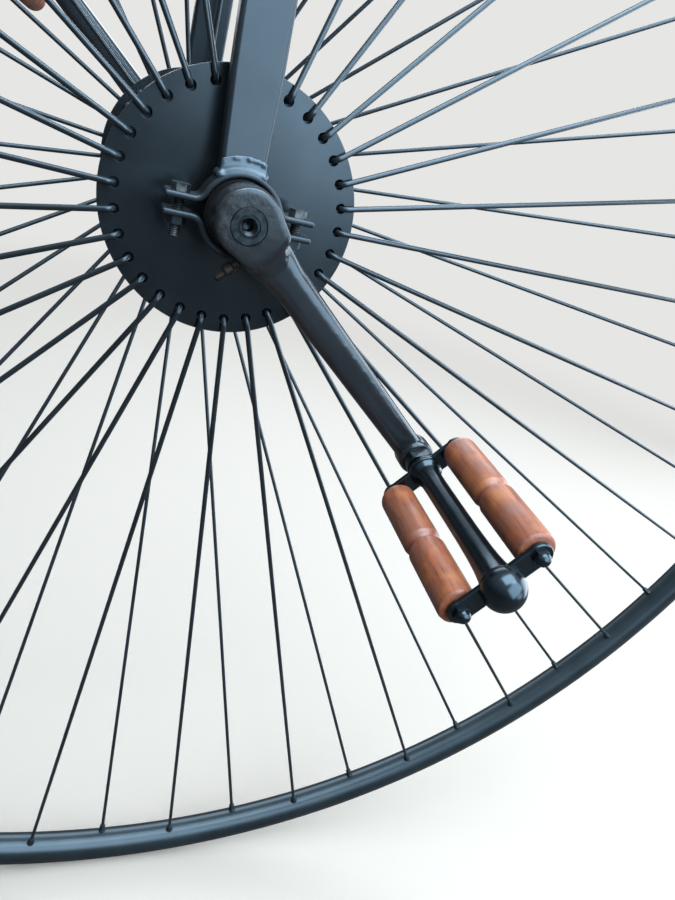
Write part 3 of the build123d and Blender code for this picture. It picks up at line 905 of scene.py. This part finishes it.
def clamp_bolts():
    """Four hexagon bolts, their tails left long, with nuts that were painted with the fork."""
    bolts, nuts = [], []
    top = STRAP_SPLIT / 2 + STRAP_T
    low = -top - BOLT_NUT_H - BOLT_TAIL
    for side in SIDES:
        for matrix in bolt_places():
            head = hex_bar("head", BOLT_HEAD_R, top, top + BOLT_HEAD_H, ("high",))
            stud = [(0, low)] + threaded(BOLT_R, low + 0.1, 4.0) + [(BOLT_R, top), (0, top)]
            bolt = join("bolt", [head, lathe("shank", stud, 20)])
            nut = hex_bar("nut", BOLT_HEAD_R, -top - BOLT_NUT_H, -top, ("low", "high"))
            for piece, made in ((bolt, bolts), (nut, nuts)):
                piece.data.transform(matrix)
                made.append(place(piece, wheel_frame(side), 30))
    finish_piece(join("bolts", bolts), "clamp_bolts", "fork", "zinc_steel", ZINC, "strap_bolts")
    finish_piece(join("nuts", nuts), "clamp_nuts", "fork", "zinc_steel", FORK_PAINT)


def bearings():
    """Sealed ball bearings, with a groove between each race and the shield."""
    made = []
    low, high = STRAP_Y - BEARING_W / 2, STRAP_Y + BEARING_W / 2
    bore = AXLE_R + FIT
    race = [(bore, high - 0.6), (bore + 0.5, high), (11.0, high), (11.2, high - 0.6), (11.6, high - 0.6),
            (11.9, high - 0.3), (14.9, high - 0.3), (15.2, high - 0.6), (15.6, high - 0.6), (15.8, high),
            (BEARING_R - 0.6, high), (BEARING_R, high - 0.6)]
    outline = race + [(radius, 2 * STRAP_Y - height) for radius, height in reversed(race)]
    for side in SIDES:
        made.append(place(lathe("ring", closed(outline), 64), wheel_frame(side), 30))
    finish_piece(join("rings", made), "bearing_rings", "fork", "bearing_steel", BEARING, "hub_bearings")


def crown():
    """Welded yoke with a round boss for the steerer."""
    foot, shoulder, top = CROWN_FOOT, CROWN_FOOT + CROWN_SHOULDER, CROWN_TOP - 4
    bore = STEERER_ROOT_R + FIT
    outline = [(-CROWN_HALF, foot), (CROWN_HALF, foot), (CROWN_HALF, shoulder), (CROWN_BOSS_R, top),
               (-CROWN_BOSS_R, top), (-CROWN_HALF, shoulder)]
    yoke = slab("yoke", outline, -CROWN_DEPTH / 2, (CROWN_DEPTH / 2, 1.0))
    yoke.data.transform(ALONG_X)
    round_edges(yoke, 3.0, 4)
    cut(yoke, round_bar("bore", bore, foot - PAST, 0, 64))
    ring = [(bore, shoulder), (CROWN_BOSS_R, shoulder), (CROWN_BOSS_R, CROWN_TOP - 1.5),
            (CROWN_BOSS_R - 1.5, CROWN_TOP), (bore, CROWN_TOP)]
    obj = place(join("crown", [yoke, lathe("boss", closed(ring), 64)]))
    finish_piece(obj, "crown_yoke", "fork", "fork_paint", FORK_PAINT, "fork_crown")


def steerer():
    """Steel tube turned to size: spigot, race seat, straight tube with its top edge broken."""
    root, seat, tube, bore = STEERER_ROOT_R, 15.0, STEERER_R, STEERER_BORE_R
    outline = [(bore, CROWN_FOOT), (root, CROWN_FOOT), (root, CROWN_TOP), (seat - 0.3, CROWN_TOP),
               (seat, CROWN_TOP + 0.3), (seat, -0.3), (seat - 0.3, 0), (tube, 0), (tube, STEERER_L - 0.8),
               (tube - 0.8, STEERER_L), (bore, STEERER_L)]
    obj = place(lathe("tube", closed(outline), 72))
    finish_piece(obj, "steerer_tube", "fork", "fork_paint", TUBE_STEEL, "steerer")


# Cranks and pedals


def finish_on_pedal(obj, side, angle, name, node, slot="pedal_enamel", material=PEDAL_ENAMEL):
    """Place and finish a piece that turns with one side's pedal."""
    place(obj, pedal_frame(side), angle)
    finish_piece(obj, f"{name}_{side}", f"pedal_{side}", slot, material, f"{node}_{side}")


def rod_places():
    """Where a pedal's two rods and grips stand."""
    return [moved(0, reach, 0) for reach in (-ROD_REACH, ROD_REACH)]


def boss_outline():
    """Round boss that ends in two rounded shoulders beside the arm."""
    reach = BOSS_NOSE_X - BOSS_CORNER_R
    half = BOSS_NOSE_HALF - BOSS_CORNER_R
    tangent = math.acos((BOSS_R - BOSS_CORNER_R) / math.hypot(reach, half))
    lean = math.degrees(math.atan2(half, reach) + tangent)
    outline = arc((0, 0), BOSS_R, lean, 360 - lean, 40)
    outline += arc((reach, -half), BOSS_CORNER_R, -lean, 0, 6)
    return outline + arc((reach, half), BOSS_CORNER_R, 0, lean, 6)[:-2]


def crank(side):
    """Forged crank: drafted boss, arm and round eye, flowing into each other."""
    drafted = (CRANK_FACE - BOSS_EDGE, 1 - BOSS_DRAFT / BOSS_R)
    face = (CRANK_FACE, 1 - (BOSS_DRAFT + BOSS_EDGE) / BOSS_R)
    boss = slab("boss", boss_outline(), CRANK_BACK, drafted, face)
    boss.data.transform(moved(*BOSS_SHIFT, 0))
    root = Vector((0, CRANK_FACE - ARM_SUNK - ARM_ROOT[1] / 2, ARM_START))
    tip = Vector((0, EYE_FACE - EYE_T / 2, CRANK_L - ARM_STOP))
    neck = root.lerp(tip, NECK_SHARE)
    below, above = NECK_WEB
    web = root + Vector(((above - below) / 2, 0, 0))
    sections = [(web, (ARM_ROOT[0] + below + above, ARM_ROOT[1])), (neck, ARM_ROOT), (tip, ARM_TIP)]
    arm = blade("arm", sections, ARM_EDGE, ARM_CORNER_STEPS)
    slope = [(Vector((SHOULDER_ASIDE, CRANK_FACE - drop - ARM_SUNK, reach)), (width, 2 * ARM_SUNK))
             for reach, drop, width in SHOULDER]
    shoulder = blade("shoulder", slope, SHOULDER_EDGE, SHOULDER_CORNER_STEPS)
    for piece in (arm, shoulder):
        piece.data.transform(ALONG_X)
    half_eye = [(0, 0), (EYE_R - EYE_EDGE, 0), (EYE_R, -EYE_EDGE)]
    lower_eye = [(radius, -EYE_T - height) for radius, height in half_eye]
    eye = lathe("eye", lower_eye + half_eye[::-1], 48)
    local_pedal = crank_frame(side).inverted() @ pedal_frame(side)
    eye.data.transform(local_pedal)
    forging = melt(join("forging", [boss, arm, shoulder, eye]), FORGING_GRAIN, FORGING_SOFTENING)
    cut(forging, round_bar("bore", AXLE_R + FIT, 0, CRANK_FACE + 5))
    thread = round_bar("thread", SPINDLE_THREAD_R + FIT, -2 * EYE_T, EYE_T)
    thread.data.transform(local_pedal)
    cut(forging, thread)
    obj = place(forging, crank_frame(side), 40)
    finish_piece(obj, f"crank_forging_{side}", "wheel", "crank_paint", CRANK_FORGING, f"crank_{side}")


def cotter(side):
    """Rusty screw that locks the crank on its axle, standing out of the boss's lower flank."""
    screw = lathe("screw", COTTER, 24)
    screw.data.transform(moved(COTTER_X, 0, CRANK_BACK + COTTER_RISE) @ turned_about("X", 90))
    obj = place(screw, crank_frame(side), 30)
    finish_piece(obj, f"locking_screw_{side}", "wheel", "zinc_steel", RUSTED_STEEL)


def spindle(side):
    """Spindle screwed into the eye, with two spanner flats on its collar."""
    side_of = [(COLLAR_R - COLLAR_EDGE, 0), (COLLAR_R, COLLAR_EDGE), (COLLAR_R, COLLAR_L - COLLAR_EDGE),
               (COLLAR_R - COLLAR_EDGE, COLLAR_L)]
    collar = lathe("collar", [(0, 0)] + side_of + [(0, COLLAR_L)], 48)
    for sign in (-1, 1):
        edge = sign * COLLAR_FLATS / 2
        far = edge + sign * COLLAR_R
        corners = [(edge, -2 * COLLAR_R), (far, -2 * COLLAR_R), (far, 2 * COLLAR_R), (edge, 2 * COLLAR_R)]
        flat = slab("flat", corners, -PAST, (COLLAR_L + PAST, 1.0))
        flat.data.transform(turned_about("Z", FLATS_TURN))
        cut(collar, flat)
    end = PLATE_OUT + PLATE_T
    pin = lathe("pin", [(0, -EYE_T), (3, 0.4 - EYE_T)] + threaded(SPINDLE_THREAD_R, 1 - EYE_T, 0, 1.27)
                + [(SPINDLE_R, 0.2), (SPINDLE_R, end), (0, end)], 40)
    obj = place(join("spindle", [collar, pin]), pedal_frame(side))
    finish_piece(obj, f"spindle_turned_{side}", "wheel", "pedal_enamel", PEDAL_ENAMEL,
                 f"pedal_spindle_{side}")


def barrel(side):
    """Tube that turns on the spindle, belled at its inner plate and flaring into the round cap."""
    low, high = PLATE_IN + PLATE_T, PLATE_OUT
    outline = [(BARREL_BORE_R, low)]
    outline += [(radius, low + along) for radius, along in BELL]
    outline += [(radius, high - along) for radius, along in FLARE] + [(BARREL_BORE_R, high)]
    finish_on_pedal(lathe("barrel", closed(outline), 64), side, 50, "barrel_flared", "pedal_barrel")


def dome(side):
    """Ball-shaped cap that closes the outer end of the pedal."""
    base = PLATE_OUT + PLATE_T
    centre = base + DOME_H - DOME_R
    low = -math.degrees(math.asin((centre - base) / DOME_R))
    ball = arc((0, centre), DOME_R, low, 90, 16)
    inside = [(0, base + DOME_WALL), (BARREL_BORE_R, base + DOME_WALL)]
    outline = [(BARREL_BORE_R, base)] + ball + inside
    finish_on_pedal(lathe("dome", closed(outline), 64), side, 50, "dome_cap", "pedal_dome")


def bow_tie():
    """Outline of an end plate: a round middle, a neck and a round lobe for each rod."""
    mid_angle = math.degrees(math.acos(PLATE_NECK / PLATE_MID_R))
    end_angle = math.degrees(math.acos(PLATE_NECK / PLATE_END_R))
    outline = arc((0, 0), PLATE_MID_R, -mid_angle, mid_angle, 10)
    outline += arc((0, ROD_REACH), PLATE_END_R, -end_angle, 180 + end_angle, 24)
    outline += arc((0, 0), PLATE_MID_R, 180 - mid_angle, 180 + mid_angle, 10)
    return outline + arc((0, -ROD_REACH), PLATE_END_R, 180 - end_angle, 360 + end_angle, 24)


def plate(side, which, low):
    """End plate of the pedal, with soft edges."""
    tie = slab("tie", bow_tie(), low, (low + PLATE_T, 1.0))
    for reach, radius in ((0, BARREL_BORE_R), (ROD_REACH, ROD_R + FIT), (-ROD_REACH, ROD_R + FIT)):
        hole = circle(radius, 24, (0, reach))
        cut(tie, slab("hole", hole, low - PAST, (low + PLATE_T + PAST, 1.0)))
    round_edges(tie, PLATE_EDGE)
    finish_on_pedal(tie, side, 35, f"plate_{which}", f"pedal_plate_{which}")


def rods(side):
    """Two rods, with a hexagon nut inside and a domed nut outside."""
    outer = PLATE_OUT + PLATE_T
    shank = round_bar("shank", ROD_R, PLATE_IN - PAST, outer + PAST, 24)
    inner_nut = hex_bar("inner_nut", ROD_NUT_R, PLATE_IN - ROD_NUT_H, PLATE_IN, ("low",))
    outer_nut = hex_bar("outer_nut", ROD_NUT_R, outer, outer + ACORN_FOOT_H, ("high",))
    rise = ROD_DOME_H - ACORN_LOW
    cap = [(ACORN_R * x, outer + ACORN_LOW + rise * y) for x, y in arc((0, 0), 1, 0, 90, 8)[:-1]]
    acorn = lathe("acorn", [(0, outer + ACORN_LOW)] + cap + [(0, outer + ROD_DOME_H)], 32)
    rod = join("rod", [shank, inner_nut, outer_nut, acorn])
    finish_on_pedal(copies("rods", rod, rod_places()), side, 40, "rods_nuts", "pedal_rods")


def grip_outline():
    """Side of a grip: rounded inner end, a worked groove near the middle, squarer outer end."""
    bore = ROD_R + FIT
    inner_end = arc((GRIP_R - GRIP_ROUND, GRIP_LOW + GRIP_ROUND), GRIP_ROUND, -90, 0, 9)
    groove = [(GRIP_R - depth, GROOVE_AT + along) for depth, along in GROOVE]
    outer_end = [(GRIP_R, GRIP_HIGH - 2.4), (GRIP_R - 0.5, GRIP_HIGH - 0.8), (GRIP_R - 1.8, GRIP_HIGH)]
    inner_half = [(GRIP_R, GRIP_LOW + share * (GROOVE_AT - GRIP_LOW)) for share in (0.35, 0.6)]
    outer_half = [(GRIP_R, GRIP_HIGH - share * (GRIP_HIGH - GROOVE_AT)) for share in (0.65, 0.35)]
    side = inner_end + inner_half + groove + outer_half + outer_end
    return [(bore, GRIP_LOW)] + side + [(bore, GRIP_HIGH), (bore, GRIP_LOW)]


def grips(side):
    """The two turned wooden grips of a pedal."""
    pair = copies("grips", lathe("grip", grip_outline(), 64), rod_places())
    finish_on_pedal(pair, side, 40, "grips_turned", "pedal_grips", "grip_wood", GRIP_WOOD)


# Stage


def stand(name, data, location, aim, roll):
    """Stand a camera or a lamp at a place, aimed at a point."""
    obj = bpy.data.objects.new(name, data)
    bpy.context.scene.collection.objects.link(obj)
    turn = (Vector(aim) - Vector(location)).to_track_quat("-Z", "Y").to_matrix().to_4x4()
    obj.matrix_world = Matrix.Translation(location) @ turn @ turned_about("Z", roll)
    return obj


def camera():
    """The photograph's own view."""
    data = bpy.data.cameras.new("camera")
    data.sensor_fit = "VERTICAL"
    data.sensor_height = SENSOR_MM
    data.lens = CAMERA_LENS_PX / PHOTO_HIGH_PX * SENSOR_MM
    data.clip_start = 0.01
    bpy.context.scene.camera = stand("camera", data, CAMERA_AT, CAMERA_AIM, CAMERA_ROLL)


def lamp(name, away, size, radiance, colour, roll):
    """Rectangular soft light that faces the hub, as bright per area as asked."""
    data = bpy.data.lights.new(name, "AREA")
    data.shape = "RECTANGLE"
    data.size, data.size_y = size
    data.energy = radiance * math.pi * size[0] * size[1]
    data.color = linear(colour)[:3]
    stand(name, data, HUB + Vector(away), HUB, roll).visible_camera = False


BACKGROUND = "#e6e6e4"
FLOOR_R = 12.0             # in metres
FLOOR_FADE = (0.9, 3.0)    # and it turns into the background between these distances


def studio_floor():
    """Round pale floor that keeps the shadow and fades into the background."""
    floor_z = HUB.z - WHEEL_R * MM
    middle = (0, 0, floor_z)
    bpy.ops.mesh.primitive_circle_add(vertices=96, radius=FLOOR_R, fill_type="NGON", location=middle)
    floor = bpy.context.object
    floor.name = "studio_floor"
    bpy.ops.object.transform_apply()
    material, tree = new_material("pale_studio_floor")
    point = add(tree, "TexCoord").outputs["Object"]
    across = add(tree, "VectorMath", point, (1, 1, 0), operation="MULTIPLY")
    far = add(tree, "VectorMath", across, operation="LENGTH").outputs["Value"]
    fade = add(tree, "MapRange", far, *FLOOR_FADE, interpolation_type="SMOOTHSTEP")
    seen = add(tree, "LightPath").outputs["Is Camera Ray"]
    near = add(tree, "Mix", seen, "#4a4846", "#aba69f")
    matt = add(tree, "BsdfDiffuse", near)
    plain = add(tree, "Emission", BACKGROUND, 1.0)
    share = add(tree, "Math", fade, seen, operation="MULTIPLY")
    add(tree, "OutputMaterial", add(tree, "MixShader", share, matt, plain))
    floor.data.materials.append(material)


def studio_sky():
    """Dim surroundings that brighten overhead, and a plain pale background for the camera."""
    world = bpy.data.worlds.new("studio")
    world.use_nodes = True
    bpy.context.scene.world = world
    tree = world.node_tree
    tree.nodes.clear()
    towards = add(tree, "TexCoord").outputs["Generated"]
    up = add(tree, "SeparateXYZ", towards).outputs["Z"]
    height = add(tree, "MapRange", up, 0.0, 0.8, interpolation_type="SMOOTHSTEP")
    colour = add(tree, "Mix", height, "#6d7275", "#dbe6ee")
    light = add(tree, "Background", colour, 0.8)
    seen = add(tree, "Background", BACKGROUND, 1.0)
    camera_ray = add(tree, "LightPath").outputs["Is Camera Ray"]
    add(tree, "OutputWorld", add(tree, "MixShader", camera_ray, light, seen))


# Patches of open sky round the wheel: place from the hub and size in metres, radiance, colour, roll
SKY = [
    ("front_sky", (0.9, -1.73, 1.03), (2.5, 2.0), 5.6, "#e2effa", 30),
    ("side_sky", (2.05, 0.2, 0.1), (1.9, 2.0), 5.0, "#e6f0fa", 0),
    ("low_sky", (1.5, -1.45, -0.1), (0.7, 0.45), 4.6, "#e2effa", 0),
    ("overhead", (0.1, -0.5, 2.2), (2.4, 1.8), 8.5, "#eaf3fb", 0),
    ("back_sky", (0.5, 2.1, 0.95), (2.4, 1.3), 4.0, "#eaf2fa", 0),
]


tyre()
rim()
axle()
hub_tube()
for side in SIDES:
    spokes(side)
    disc(side)
    leg(side)
    weld(side)
    crank(side)
    cotter(side)
    spindle(side)
    barrel(side)
    dome(side)
    plate(side, "inner", PLATE_IN)
    plate(side, "outer", PLATE_OUT)
    rods(side)
    grips(side)
straps("upper", 0)
straps("lower", 180)
clamp_bolts()
bearings()
crown()
steerer()
camera()
studio_floor()
studio_sky()
for patch in SKY:
    lamp(*patch)

bpy.context.scene.view_settings.view_transform = "Standard"
